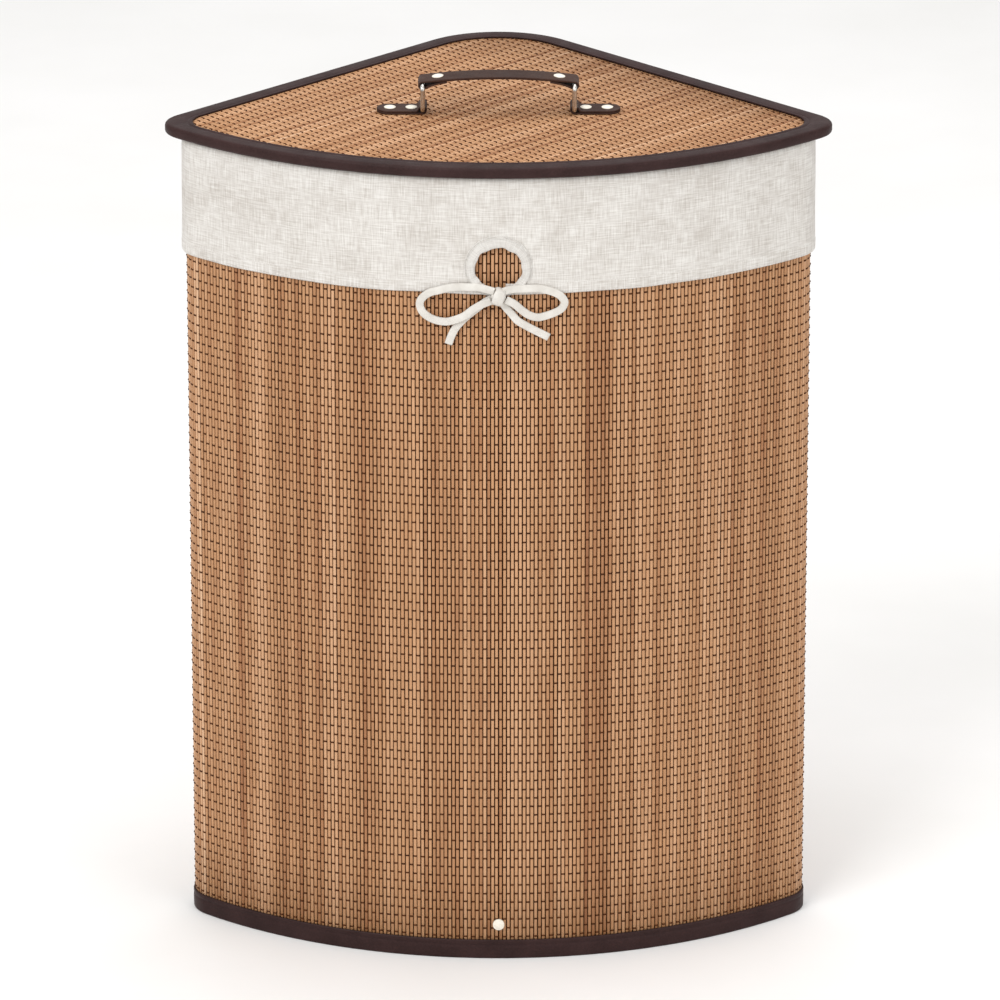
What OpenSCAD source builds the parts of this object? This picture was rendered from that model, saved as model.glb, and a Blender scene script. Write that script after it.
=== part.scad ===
// Corner laundry hamper: a quarter-round bamboo mat body, a removable cloth bag whose cuff
// folds over the rim, and a lift-off lid with a strap handle on two metal rings.
// The origin is the middle of the footprint, on the floor. +Z is up, the curved front faces -Y
// and the square corner points to +Y. Every outline is the lid's own outline moved inwards.

/* [Plan] */
// Radius of the lid's curved front edge
lid_radius = 327; // [310:1:350]
// How far behind the front arc's centre the two straight sides would meet
corner_reach = 25; // [0:1:40]
// Radius that rounds the lid's back corner
corner_radius = 68; // [50:1:80]
// Radius that rounds the lid's two front tips
tip_radius = 21; // [16:1:24]
// The same for the wall and the binding's inner edge, as if brought out to the lid's edge
inner_tip_radius = 34; // [32:1:40]

/* [Body] */
// Height of the lid's underside above the floor
rim_height = 590; // [500:1:680]
// How far the lid overhangs the bamboo wall
lid_overhang = 8.5; // [8:0.5:10]
// Thickness of the bamboo mat
mat_thick = 2.2; // [1.8:0.1:2.4]
// Thickness of the cloth glued behind the bamboo mat
backing_thick = 0.8; // [0.5:0.1:1]
// Height of the base binding
base_band = 14.5; // [10:0.5:18]
// Thickness of the fibreboard in the base and in the rim frame
board_thick = 9; // [9:0.5:12]
// Height of the base board's underside
board_lift = 22; // [16:1:30]
// Width of the rim frame, measured inwards from the wall
frame_width = 12; // [12:0.5:14]
// Diameter of the three upright poles
pole_d = 8; // [6:0.5:8]

/* [Bag] */
// Height of the cloth cuff outside the wall
cuff_drop = 86; // [70:1:110]
// Thickness of the bag's cloth as a closed solid
cloth_thick = 1.4; // [1:0.1:1.6]
// Height of the hem at the cuff's lower edge
hem_height = 8; // [6:1:12]
// Radius of the opening in the middle of the cuff
keyhole_radius = 16.5; // [12:0.5:20]
// Width of the sewn casing round that opening
casing_width = 7.5; // [5:0.5:9]
// Width of the tie's flat cord
tie_width = 5.6; // [4:0.2:5.6]
// Thickness of the tie's flat cord
tie_thick = 2.8; // [2:0.2:2.8]

/* [Lid] */
// Thickness of the whole lid
lid_thick = 8; // [7:0.5:10]
// Width of the binding on the lid's faces
lid_band = 14; // [10:1:20]
// Thickness of the bindings' leather
leather_thick = 1; // [0.8:0.1:1]
// Thickness of the bamboo mat on the lid
lid_mat_thick = 1.6; // [1:0.1:2]
// How far the locating blocks drop below the lid
block_drop = 11; // [8:1:16]

/* [Handle] */
// Distance between the two rings' lower bars
ring_span = 107.4; // [90:0.2:130]
// Distance between a ring's lower and upper bar
ring_rise = 18; // [14:0.5:20]
// Diameter of the rings' wire
wire_d = 3.4; // [3:0.1:3.6]
// Width of the handle strap and of the tabs
strap_width = 18; // [16:0.5:22]
// Thickness of the leather in the tabs and round the bars
strap_thick = 1.3; // [1:0.1:1.5]
// Thickness of the handle strap between its ends
grip_thick = 2; // [1.6:0.1:2.4]
// Height of the handle strap's arch
grip_arch = 3.4; // [2:0.2:6]
// Length of each tab from its ring's bar to its round end
tab_length = 32.5; // [30:0.5:38]
// Distance from the lid's front edge to the handle's middle
handle_back = 135.7; // [110:0.1:150]
// Diameter of the rivets' caps
rivet_d = 8.2; // [7:0.2:9]

/* [Hidden] */
$fn = 48;
cut = 1;                     // how far a cutter runs past a face

// Plan of the hamper
side_angle = 45;             // between each straight side and the middle plane
arc_steps = 47;              // odd, so that one flat face lies on the middle plane
tip_steps = 8;
corner_steps = 16;
smallest_tip = 3;
lid_depth = lid_radius + corner_reach - corner_radius * (1 / sin(side_angle) - 1);
front_y = -lid_depth / 2;
arc_y = front_y + lid_radius;

function apex_y(inset) = arc_y + corner_reach - inset / sin(side_angle);
function tip_r(inset) =
    max((inset > leather_thick ? inner_tip_radius : tip_radius) - inset, smallest_tip);

// Centre of a circle of radius r that touches both the front arc and the right side
function tip_centre(inset, r) =
    let (
        side = [sin(side_angle), -cos(side_angle)],
        start = [0, apex_y(inset)] - r * [cos(side_angle), sin(side_angle)],
        a = start - [0, arc_y],
        half_b = a * side,
        along = -half_b + sqrt(half_b ^ 2 - a * a + (lid_radius - inset - r) ^ 2)
    ) start + along * side;

function arc(c, r, from, to, steps) =
    [for (i = [0:steps]) c + r * [cos(from + (to - from) * i / steps),
                                  sin(from + (to - from) * i / steps)]];

function outline(inset) =
    let (
        r = tip_r(inset),
        tip = tip_centre(inset, r),
        turn = atan2(tip.y - arc_y, tip.x),
        corner = corner_radius - inset,
        corner_c = [0, apex_y(inset) - corner / sin(side_angle)]
    ) concat(
        arc([0, arc_y], lid_radius - inset, -180 - turn, turn, arc_steps),
        [for (i = [1:tip_steps]) tip + r * [cos(turn + (side_angle - turn) * i / tip_steps),
                                            sin(turn + (side_angle - turn) * i / tip_steps)]],
        arc(corner_c, corner, side_angle, 180 - side_angle, corner_steps),
        [for (i = [0:tip_steps - 1])
            let (at = 180 - side_angle + (side_angle - turn) * i / tip_steps)
            [-tip.x, tip.y] + r * [cos(at), sin(at)]]
    );

module slab(inset, low, high) {
    translate([0, 0, low]) linear_extrude(high - low) polygon(outline(inset));
}

module band(outer, inner, low, high) {
    difference() {
        slab(outer, low, high);
        slab(inner, low - cut, high + cut);
    }
}

// Insets of the nested layers, from the lid's edge inwards
wall_out = lid_overhang;
wall_in = wall_out + mat_thick;
backing_in = wall_in + backing_thick;
frame_in = backing_in + frame_width;
soft_gap = 0.3;              // kept between cloth and the parts of other bodies
tape_out = wall_out - leather_thick;
cuff_gap = 0.4;              // between the cuff and the tape over the rim
hem_swell = 0.4;             // how much further out the hem stands than the cuff
cuff_in = tape_out - cuff_gap;
cuff_out = cuff_in - cloth_thick;
hem_out = cuff_out - hem_swell;
bag_out = frame_in + soft_gap;
bag_in = bag_out + cloth_thick;

// Heights
lid_top = rim_height + lid_thick;
cuff_top = rim_height - soft_gap;
cuff_bottom = rim_height - cuff_drop;
band_floor = 1.5;            // thickness of the base binding under the wall
rim_cloth = 2.2;             // thickness of the cloth folded over the rim
tape_top = cuff_top - rim_cloth - soft_gap;
wall_top = tape_top - leather_thick;
frame_low = wall_top - board_thick;
board_top = board_lift + board_thick;
cover_thick = 0.8;
cover_top = board_top + cover_thick;
bag_low = cover_top + soft_gap;
tape_drop = 12;
seam_width = 24;

// Poles stand in blind holes in the base board and in the rim frame
pole_hole = 5;
pole_inset = backing_in + frame_width / 2;
pole_tip = tip_centre(pole_inset, tip_r(pole_inset)) + [tip_r(pole_inset), 0];
pole_spots = [[-pole_tip.x, pole_tip.y], pole_tip, [0, -front_y - pole_inset]];
pole_fit = 0.05;
cover_fit = 0.1;

// Screws that hold the wall to the base board: one in front and two in each straight side
screw_z = board_lift + board_thick / 2;
screw_d = 3;
screw_len = 16;
screw_head_d = 6;
screw_head = 1.2;
screw_clear = 0.2;
wall_hole = mat_thick + backing_thick + cut;
side_screws = [90, 220];     // distances down each straight side from the back corner's apex
wall_front_y = min([for (p = outline(wall_out)) p.y]);

// Keyhole, knot and the tie's bow. A route's point is [x, distance in front of the wall, z].
casing_lift = 1;             // how far the casing's ends stop above the cuff's lower edge
keyhole_lift = 2.5;          // height of the opening's lower edge above the cuff's
casing_z = cuff_bottom + keyhole_lift + keyhole_radius;
casing_top = casing_z + keyhole_radius + casing_width;
knot_size = [10, 7, 12.4];
knot_round = 2.5;
knot_mid = [0, 7, cuff_bottom];
loop_left_route = [
    [-3, 8, 508], [-8, 6.6, 509], [-14, 5.3, 510], [-21, 5, 510], [-28, 5, 510], [-35, 5, 509],
    [-42, 5, 507], [-48, 4.8, 505], [-53, 4.3, 501], [-55, 3.6, 496], [-53, 3, 490],
    [-48, 3, 486], [-42, 3.2, 484], [-36, 4.2, 484], [-30, 5.2, 486], [-24, 6, 489],
    [-18, 6.4, 494], [-12, 7, 498], [-5, 7.6, 501]
];
loop_right_route = [
    [3, 8, 508], [8, 6.6, 509], [14, 5.3, 509], [20, 5, 509], [26, 5, 509], [32, 5, 508],
    [38, 4.9, 506], [43, 4.8, 503], [46, 4, 498], [44, 3.2, 493], [39, 3, 490], [33, 3, 488],
    [27, 3, 487], [21, 3.2, 489], [16, 4, 493], [11, 5.6, 498], [5, 7.6, 502]
];
tail_left_route = [
    [-4, 4.6, 502], [-9, 3.4, 499], [-15, 2.9, 494], [-21, 2.8, 489], [-26, 2.8, 484],
    [-30, 2.8, 479], [-33, 2.8, 473], [-35, 2.8, 467]
];
tail_right_route = [
    [2, 4.6, 500], [5, 3.5, 495], [9, 2.9, 490], [13, 2.8, 485], [19, 2.8, 481],
    [26, 2.8, 477], [35, 2.8, 472]
];
tie_sides = 8;

function on_wall(p) = [p.x, arc_y - sqrt((lid_radius - wall_out + p.y) ^ 2 - p.x ^ 2), p.z];
function lean(route, i) =
    let (
        step = on_wall(route[min(i + 1, len(route) - 1)]) - on_wall(route[max(i - 1, 0)]),
        flat = [step.x, step.z] / norm([step.x, step.z])
    ) [-flat.y, 0, flat.x];

// Handle
mat_top = lid_top - leather_thick;
handle_y = front_y + handle_back;
wire_r = wire_d / 2;
bore_r = wire_r + 0.2;
loop_r = bore_r + strap_thick;
bar_x = ring_span / 2;
low_bar_z = mat_top + loop_r;
high_bar_z = low_bar_z + ring_rise;
leg_y = strap_width / 2 + 0.5 + wire_r;
bend_r = 3;
tab_thick = 2 * strap_thick;
grip_radius = (bar_x ^ 2 + grip_arch ^ 2) / (2 * grip_arch);
grip_top = high_bar_z + loop_r + grip_arch;
grip_centre_z = grip_top - grip_radius;
fold_x = 36.4;               // where the folded end of the strap meets its underside
grip_steps = 24;
loop_steps = 30;
cap_rim = 0.4;
cap_rise = 1;
shank_d = 3;
shank_fit = 0.05;
tab_rivet_spots = [8, 23.2]; // distances from the ring's bar
handle_rivet_x = 43;
handle_rivet_drop = 5;
rivet_spots = [for (side = [-1, 1], d = tab_rivet_spots) [side * (bar_x + d), handle_y]];
washer_thick = 0.8;
lining_thick = 0.6;
board_low = rim_height + leather_thick + lining_thick;
board_high = mat_top - lid_mat_thick;
block_size = [40, 10, block_drop + leather_thick];
block_gap = 4;               // between a block and the bag's inside
block_spot = 150;            // distance of the side blocks from the back corner's apex

// Body

module screw_frame(spot) {
    // Puts children at a wall screw, with +X pointing out of the wall's outer face
    if (spot == "front") translate([0, wall_front_y, screw_z]) rotate(-90) children();
    else for (side = [0, 1], d = side_screws) mirror([side, 0, 0])
        translate([d * sin(side_angle), apex_y(wall_out) - d * cos(side_angle), screw_z])
            rotate(side_angle) children();
}

module screw_shanks(d, length) {
    for (spot = ["front", "sides"])
        screw_frame(spot) translate([-length, 0, 0]) rotate([0, 90, 0]) cylinder(d = d, h = length);
}

module wall_mat() {
    color("peru") difference() {
        band(wall_out, wall_in, band_floor, wall_top);
        screw_shanks(screw_d + 2 * screw_clear, wall_hole);
    }
}

module wall_backing() {
    color("darkkhaki") difference() {
        band(wall_in, backing_in, band_floor, wall_top);
        screw_shanks(screw_d + 2 * screw_clear, wall_hole);
    }
}

module back_seam() {
    color("saddlebrown") intersection() {
        band(tape_out, wall_out, base_band, wall_top - tape_drop);
        translate([-seam_width / 2, 0, 0]) cube([seam_width, lid_depth, rim_height]);
    }
}

module base_binding() {
    color("#45302f") difference() {
        band(wall_out - leather_thick, backing_in + leather_thick, 0, base_band);
        band(wall_out, backing_in, band_floor, base_band + cut);
    }
}

module base_board() {
    color("burlywood") difference() {
        slab(backing_in, board_lift, board_top);
        for (p = pole_spots) translate([p.x, p.y, board_top - pole_hole])
            cylinder(d = pole_d + 2 * pole_fit, h = pole_hole + cut);
    }
}

module base_cover() {
    color("linen") difference() {
        slab(backing_in, board_top, cover_top);
        for (p = pole_spots) translate([p.x, p.y, board_top - cut])
            cylinder(d = pole_d + 2 * cover_fit, h = 2 * cut + cover_thick);
    }
}

module rim_frame() {
    color("burlywood") difference() {
        band(backing_in, frame_in, frame_low, wall_top);
        for (p = pole_spots) translate([p.x, p.y, frame_low - cut])
            cylinder(d = pole_d + 2 * pole_fit, h = pole_hole + cut);
    }
}

module rim_tape() {
    color("saddlebrown") difference() {
        band(tape_out, frame_in, wall_top - tape_drop, tape_top);
        slab(wall_out, wall_top - tape_drop - cut, wall_top);
    }
}

module pole(i) {
    color("wheat") translate([pole_spots[i].x, pole_spots[i].y, board_top - pole_hole])
        cylinder(d = pole_d, h = frame_low - board_top + 2 * pole_hole);
}

module base_screws() {
    color("silver") for (spot = ["front", "sides"]) screw_frame(spot) rotate([0, 90, 0]) {
        translate([0, 0, -screw_len]) cylinder(d = screw_d, h = screw_len);
        cylinder(d = screw_head_d, h = screw_head);
    }
}

module base_screw_caps() {
    color("ivory") for (spot = ["front", "sides"]) screw_frame(spot) rotate([0, 90, 0])
        difference() {
            dome(rivet_d, screw_head + cap_rim, cap_rise);
            translate([0, 0, -cut]) cylinder(d = screw_head_d + cap_rim, h = screw_head + cut);
        }
}

// Bag

module bag_wall() {
    color("beige") band(bag_out, bag_in, bag_low + cloth_thick, cuff_top - rim_cloth);
}

module bag_floor() {
    color("beige") slab(bag_out, bag_low, bag_low + cloth_thick);
}

module across_front(r) {
    // A round bar through the cuff's front, at the keyhole
    translate([0, front_y + bag_in, casing_z]) rotate([90, 0, 0]) cylinder(r = r, h = bag_in);
}

module bag_cuff() {
    color("floralwhite") difference() {
        union() {
            band(cuff_out, cuff_in, cuff_bottom + hem_height, cuff_top - rim_cloth);
            band(cuff_out, bag_in, cuff_top - rim_cloth, cuff_top);
        }
        across_front(keyhole_radius + casing_width);
    }
}

module cuff_hem() {
    color("floralwhite") difference() {
        band(hem_out, cuff_in, cuff_bottom, cuff_bottom + hem_height);
        across_front(keyhole_radius + casing_width);
    }
}

module keyhole_casing() {
    color("white") difference() {
        intersection() {
            band(hem_out, cuff_in, cuff_bottom + casing_lift, casing_top + cut);
            across_front(keyhole_radius + casing_width);
        }
        across_front(keyhole_radius);
    }
}

module tie_knot() {
    color("white") hull() for (x = [-1, 1], z = [-1, 1])
        translate(on_wall(knot_mid)
            + [x * (knot_size.x / 2 - knot_round), 0, z * (knot_size.z / 2 - knot_round)])
            rotate([90, 0, 0]) cylinder(r = knot_round, h = knot_size.y, center = true, $fn = 20);
}

module tie(route) {
    // A flat cord: one ring of points round each point of its route, widest across the wall
    last = len(route) - 1;
    points = [for (i = [0:last], k = [0:tie_sides - 1])
        on_wall(route[i]) + lean(route, i) * tie_width / 2 * cos(360 * k / tie_sides)
            + [0, tie_thick / 2 * sin(360 * k / tie_sides), 0]];
    sides = [for (i = [0:last - 1], k = [0:tie_sides - 1])
        let (n = (k + 1) % tie_sides, a = i * tie_sides, b = a + tie_sides)
        [a + k, a + n, b + n, b + k]];
    color("white") polyhedron(points, concat(
        [[for (k = [tie_sides - 1:-1:0]) k]], sides,
        [[for (k = [0:tie_sides - 1]) last * tie_sides + k]]));
}

// Lid

module dome(d, rim, rise) {
    // A cap with an upright rim and a shallow spherical top
    r = ((d / 2) ^ 2 + rise ^ 2) / (2 * rise);
    intersection() {
        cylinder(d = d, h = rim + rise);
        translate([0, 0, rim + rise - r]) sphere(r, $fn = 96);
    }
}

module rivet_holes(low, high) {
    for (p = rivet_spots) translate([p.x, p.y, low - cut])
        cylinder(d = shank_d + 2 * shank_fit, h = high - low + 2 * cut);
}

module lid_layer(inset, low, high) {
    difference() {
        slab(inset, low, high);
        rivet_holes(low, high);
    }
}

module lid_board() {
    color("burlywood") lid_layer(leather_thick, board_low, board_high);
}

module lid_mat() {
    color("peru") lid_layer(leather_thick, board_high, mat_top);
}

module lid_lining() {
    color("linen") lid_layer(leather_thick, board_low - lining_thick, board_low);
}

module lid_binding() {
    color("#45302f") difference() {
        band(0, lid_band, rim_height, lid_top);
        slab(leather_thick, rim_height + leather_thick, mat_top);
    }
}

module block() {
    translate([-block_size.x / 2, 0, rim_height - block_drop]) cube(block_size);
}

module lid_block_front() {
    color("burlywood") translate([0, front_y + bag_in + block_gap, 0]) block();
}

module side_block(side) {
    // Stands along the middle of a straight side
    color("burlywood") mirror([side, 0, 0])
        translate([block_spot * sin(side_angle),
                   apex_y(bag_in + block_gap) - block_spot * cos(side_angle), 0])
            rotate(90 + side_angle) block();
}

module strap_outline(length) {
    // A strap from x = 0 outwards to a round end
    translate([0, -strap_width / 2]) square([length - strap_width / 2, strap_width]);
    translate([length - strap_width / 2, 0]) circle(d = strap_width);
}

module along_y(x, z, r, length) {
    translate([x, length / 2, z]) rotate([90, 0, 0]) cylinder(r = r, h = length);
}

module tab(side) {
    // A strip folded round the ring's lower bar, both layers riveted to the lid
    color("#45302f") translate([0, handle_y, 0]) mirror([side, 0, 0]) difference() {
        union() {
            translate([bar_x, 0, mat_top]) linear_extrude(tab_thick) strap_outline(tab_length);
            along_y(bar_x, low_bar_z, loop_r, strap_width);
        }
        along_y(bar_x, low_bar_z, bore_r, strap_width + 2 * cut);
        for (d = tab_rivet_spots) translate([bar_x + d, 0, mat_top - cut])
            cylinder(d = shank_d + 2 * shank_fit, h = tab_thick + 2 * cut);
    }
}

module rivet(drop) {
    dome(rivet_d, cap_rim, cap_rise);
    translate([0, 0, -drop]) cylinder(d = shank_d, h = drop + cap_rim);
}

module tab_rivets(side) {
    color("ivory") translate([0, handle_y, mat_top + tab_thick]) mirror([side, 0, 0])
        for (d = tab_rivet_spots) translate([bar_x + d, 0, 0])
            rivet(mat_top + tab_thick - rim_height - leather_thick + washer_thick);
}

module rivet_washers() {
    // Flat washers against the lining, one round each rivet's tail
    color("silver") for (p = rivet_spots)
        translate([p.x, p.y, rim_height + leather_thick - washer_thick]) difference() {
            cylinder(d = rivet_d + 1, h = washer_thick);
            translate([0, 0, -cut]) cylinder(d = shank_d + 2 * shank_fit, h = washer_thick + 2 * cut);
        }
}

// Handle

module ring(side) {
    // A rectangle of round wire with bent corners, standing across the strap
    straight_y = leg_y - bend_r;
    straight_z = ring_rise / 2 - bend_r;
    color("silver") translate([side * bar_x, handle_y, (low_bar_z + high_bar_z) / 2]) {
        for (z = [-1, 1]) along_y(0, z * ring_rise / 2, wire_r, 2 * straight_y);
        for (y = [-1, 1]) translate([0, y * leg_y, -straight_z])
            cylinder(r = wire_r, h = 2 * straight_z);
        for (turn = [0:90:270]) rotate([turn, 0, 0])
            translate([0, turn % 180 == 0 ? straight_y : straight_z,
                       turn % 180 == 0 ? straight_z : straight_y])
                rotate([0, -90, 0]) rotate_extrude(angle = 90) translate([bend_r, 0])
                    circle(r = wire_r);
    }
}

function grip_under(x) = grip_centre_z + sqrt((grip_radius - grip_thick) ^ 2 - x ^ 2);

module strap_plate(points) {
    translate([0, strap_width / 2, 0]) rotate([90, 0, 0]) linear_extrude(strap_width)
        polygon(points);
}

module on_grip() {
    // Puts children at both handle rivets, standing square to the arch's top
    for (side = [-1, 1]) translate([0, 0, grip_centre_z])
        rotate([0, side * asin(handle_rivet_x / grip_radius), 0])
            translate([0, 0, grip_radius]) children();
}

module handle_strap() {
    // An arched strap whose ends turn down round the rings and come back under it
    half_turn = asin(bar_x / grip_radius);
    centre = [0, grip_centre_z];
    fold_end = [fold_x, grip_under(fold_x) + grip_thick / 4];
    fold_start = [bar_x - loop_r * sin(30), high_bar_z - loop_r * cos(30)];
    color("#45302f") translate([0, handle_y, 0]) difference() {
        union() {
            strap_plate(concat(
                arc(centre, grip_radius, 90 - half_turn, 90 + half_turn, grip_steps),
                arc(centre, grip_radius - grip_thick, 90 + half_turn, 90 - half_turn, grip_steps)));
            for (side = [0, 1]) mirror([side, 0, 0]) {
                strap_plate(arc([bar_x, high_bar_z], loop_r, 0, 360 - 360 / loop_steps,
                    loop_steps - 1));
                strap_plate([fold_start, fold_start + [0, strap_thick],
                    fold_end + [2.5 * strap_thick, 0], fold_end]);
            }
        }
        for (side = [-1, 1]) along_y(side * bar_x, high_bar_z, bore_r, strap_width + 2 * cut);
        on_grip() translate([0, 0, -3 * loop_r])
            cylinder(d = shank_d + 2 * shank_fit, h = 3 * loop_r + cut);
    }
}

module handle_rivets() {
    color("ivory") translate([0, handle_y, 0]) on_grip() rivet(handle_rivet_drop);
}

wall_mat();
wall_backing();
back_seam();
base_binding();
base_board();
base_cover();
rim_frame();
rim_tape();
pole(0);  // pole_left
pole(1);  // pole_right
pole(2);  // pole_back
base_screws();
base_screw_caps();
bag_wall();
bag_floor();
bag_cuff();
cuff_hem();
keyhole_casing();
tie_knot();
tie(loop_left_route);  // tie_loop_left
tie(loop_right_route);  // tie_loop_right
tie(tail_left_route);  // tie_tail_left
tie(tail_right_route);  // tie_tail_right
lid_board();
lid_mat();
lid_lining();
lid_binding();
side_block(1);  // lid_block_left
side_block(0);  // lid_block_right
lid_block_front();
tab(1);  // tab_left
tab(0);  // tab_right
tab_rivets(1);  // tab_rivets_left
tab_rivets(0);  // tab_rivets_right
rivet_washers();
ring(-1);  // ring_left
ring(1);  // ring_right
handle_strap();
handle_rivets();
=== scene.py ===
# The looks of a corner laundry hamper: bamboo slats woven with thread, leather bindings, a linen bag
# whose cuff folds over the rim and closes with a bow, and a lid with a strap handle on two rings.
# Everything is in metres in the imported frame. +Z is up and the curved front faces -Y.

import math

import bpy
import numpy as np
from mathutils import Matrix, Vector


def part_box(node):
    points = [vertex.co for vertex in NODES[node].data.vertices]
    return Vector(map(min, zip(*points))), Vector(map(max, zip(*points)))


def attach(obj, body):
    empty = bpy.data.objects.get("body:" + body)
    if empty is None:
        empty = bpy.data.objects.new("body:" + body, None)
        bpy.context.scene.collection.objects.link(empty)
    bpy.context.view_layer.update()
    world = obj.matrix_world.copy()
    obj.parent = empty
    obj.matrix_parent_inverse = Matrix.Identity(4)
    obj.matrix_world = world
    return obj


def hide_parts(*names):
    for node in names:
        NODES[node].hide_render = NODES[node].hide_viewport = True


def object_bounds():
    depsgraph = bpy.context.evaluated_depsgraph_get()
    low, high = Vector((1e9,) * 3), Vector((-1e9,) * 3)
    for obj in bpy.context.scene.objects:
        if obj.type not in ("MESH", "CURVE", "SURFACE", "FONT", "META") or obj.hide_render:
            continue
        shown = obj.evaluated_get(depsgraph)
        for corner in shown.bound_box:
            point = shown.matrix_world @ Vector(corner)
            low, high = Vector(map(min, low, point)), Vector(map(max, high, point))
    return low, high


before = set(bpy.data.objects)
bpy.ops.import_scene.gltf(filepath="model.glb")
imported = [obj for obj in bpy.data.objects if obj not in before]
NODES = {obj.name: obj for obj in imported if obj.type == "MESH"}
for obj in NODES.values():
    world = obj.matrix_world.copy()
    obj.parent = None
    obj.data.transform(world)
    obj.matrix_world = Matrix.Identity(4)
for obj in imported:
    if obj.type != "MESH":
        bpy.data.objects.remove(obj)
CAD_LOW, CAD_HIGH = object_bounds()
RANDOM = np.random.default_rng(11)

# Sizes that part.scad gives its outlines. Insets are measured inwards from the lid's edge.
LID_RADIUS = 0.327  # of the front arc
CORNER_REACH = 0.025  # from the arc's centre back to where the sides would meet
CORNER_RADIUS = 0.068  # of the back corner
TIP_RADIUS = 0.021  # of the lid's two tips
INNER_TIP_RADIUS = 0.034  # of the layers under it, brought out to the lid's edge
SIDE_ANGLE = math.radians(45)
LID_BAND = 0.014  # width of the lid's binding
WALL_INSET = 0.0085
CUFF_INSET = 0.0071
BAG_INSET = 0.0238
MIRROR = np.array([-1, 1])

# Steps along an outline's corner, side, tip and front
CORNER_STEPS, SIDE_STEPS, TIP_STEPS, FRONT_STEPS = 24, 70, 18, 160

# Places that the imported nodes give
EDGE_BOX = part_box("lid_binding")
GRIP_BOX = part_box("handle_strap")
RING_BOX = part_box("ring_right")
FRONT_Y = EDGE_BOX[0].y
ARC_Y = FRONT_Y + LID_RADIUS
RIM_Z, LID_TOP = EDGE_BOX[0].z, EDGE_BOX[1].z
MAT_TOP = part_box("lid_mat")[1].z
WALL_LOW, WALL_TOP = [corner.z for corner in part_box("wall_mat")]
BASE_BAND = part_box("base_binding")[1].z
CUFF_LOW, HEM_TOP = [corner.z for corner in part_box("cuff_hem")]
CUFF_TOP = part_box("bag_cuff")[1].z
BAG_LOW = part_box("bag_floor")[0].z
BAG_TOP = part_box("bag_wall")[1].z


# ------------------------- camera

CAMERA_LENS = 306.1  # mm
CAMERA_PLACE = (0.001, FRONT_Y - 5.6, 2.424)
CAMERA_DOWN = 20.29  # degrees below level


def make_camera():
    """A long lens, 5.6 m in front of the lid's edge, that looks down on the hamper."""
    data = bpy.data.cameras.new("camera")
    data.lens = CAMERA_LENS
    data.sensor_width = 36
    data.clip_end = 60
    camera = bpy.data.objects.new("camera", data)
    camera.location = CAMERA_PLACE
    camera.rotation_euler = (math.radians(90 - CAMERA_DOWN), 0, 0)
    bpy.context.scene.collection.objects.link(camera)
    bpy.context.scene.camera = camera


make_camera()


# ------------------------- outlines

def direction(angle):
    """The direction, or directions, at this angle."""
    return np.stack([np.cos(angle), np.sin(angle)], -1)


def circle(centre, radius, start, end, steps):
    """Points on a circle between two angles in degrees."""
    return np.asarray(centre) + radius * direction(np.radians(np.linspace(start, end, steps)))


def arc(centre, radius, start, end, steps):
    """Points from start to end, without the last, and their outward normals."""
    normals = direction(np.linspace(start, end, steps, endpoint=False))
    return np.asarray(centre) + radius * normals, normals


def side(start, end, angle, steps):
    """Points on a straight stretch, without the last, and their outward normals."""
    share = np.linspace(0, 1, steps, endpoint=False)[:, None]
    return start + share * (end - start), np.tile(direction(angle), (steps, 1))


def tip_centre(inset, radius):
    """Centre of the right tip's circle, which touches the front arc and the right side."""
    along = np.array([math.sin(SIDE_ANGLE), -math.cos(SIDE_ANGLE)])
    apex = np.array([0, ARC_Y + CORNER_REACH - inset / math.sin(SIDE_ANGLE)])
    start = apex - radius * direction(SIDE_ANGLE)
    offset = start - np.array([0, ARC_Y])
    half_b = offset @ along
    reach = -half_b + math.sqrt(half_b**2 - offset @ offset + (LID_RADIUS - inset - radius) ** 2)
    return start + reach * along


def binding_tip(inset):
    """Tip radius, brought out to the lid's edge, that changes steadily across the lid's binding."""
    return np.interp(inset, [0, LID_BAND], [TIP_RADIUS, INNER_TIP_RADIUS])


def outline(inset, tip=INNER_TIP_RADIUS):
    """One layer's outline, from the back corner anticlockwise, and its outward normals. tip is the
    tips' radius brought out to the lid's edge. The steps are the same for every inset."""
    back = math.radians(90)
    left_side = 3 * SIDE_ANGLE
    corner_r = CORNER_RADIUS - inset
    corner = np.array([0, ARC_Y + CORNER_REACH - (inset + corner_r) / math.sin(SIDE_ANGLE)])
    tip_r = tip - inset
    right = tip_centre(inset, tip_r)
    left = right * MIRROR
    turn = math.atan2(right[1] - ARC_Y, right[0])
    out_left = direction(left_side)
    out_right = out_left * MIRROR
    parts = [
        arc(corner, corner_r, back, left_side, CORNER_STEPS),
        side(corner + corner_r * out_left, left + tip_r * out_left, left_side, SIDE_STEPS),
        arc(left, tip_r, left_side, math.pi - turn, TIP_STEPS),
        arc([0, ARC_Y], LID_RADIUS - inset, math.pi - turn, 2 * math.pi + turn, FRONT_STEPS),
        arc(right, tip_r, turn, SIDE_ANGLE, TIP_STEPS),
        side(right + tip_r * out_right, corner + corner_r * out_right, SIDE_ANGLE, SIDE_STEPS),
        arc(corner, corner_r, SIDE_ANGLE, back, CORNER_STEPS),
    ]
    return np.vstack([p for p, _ in parts]), np.vstack([n for _, n in parts])


def lengths(points, closed=True):
    """Distance along a line of points to each of them, and the whole length."""
    steps = np.linalg.norm(np.roll(points, -1, 0) - points, axis=1)
    reach = np.concatenate([[0], np.cumsum(steps)])
    return reach[:-1], reach[-1] if closed else reach[-2]


def along_outline(inset, shares):
    """Points and outward normals at these shares of an outline's length."""
    points, normals = outline(inset)
    reach, total = lengths(points)
    at = np.asarray(shares) * total

    def pick(values):
        return np.column_stack([np.interp(at, reach, values[:, k], period=total) for k in (0, 1)])

    normals = pick(normals)
    return pick(points), normals / np.linalg.norm(normals, axis=1)[:, None]


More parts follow.
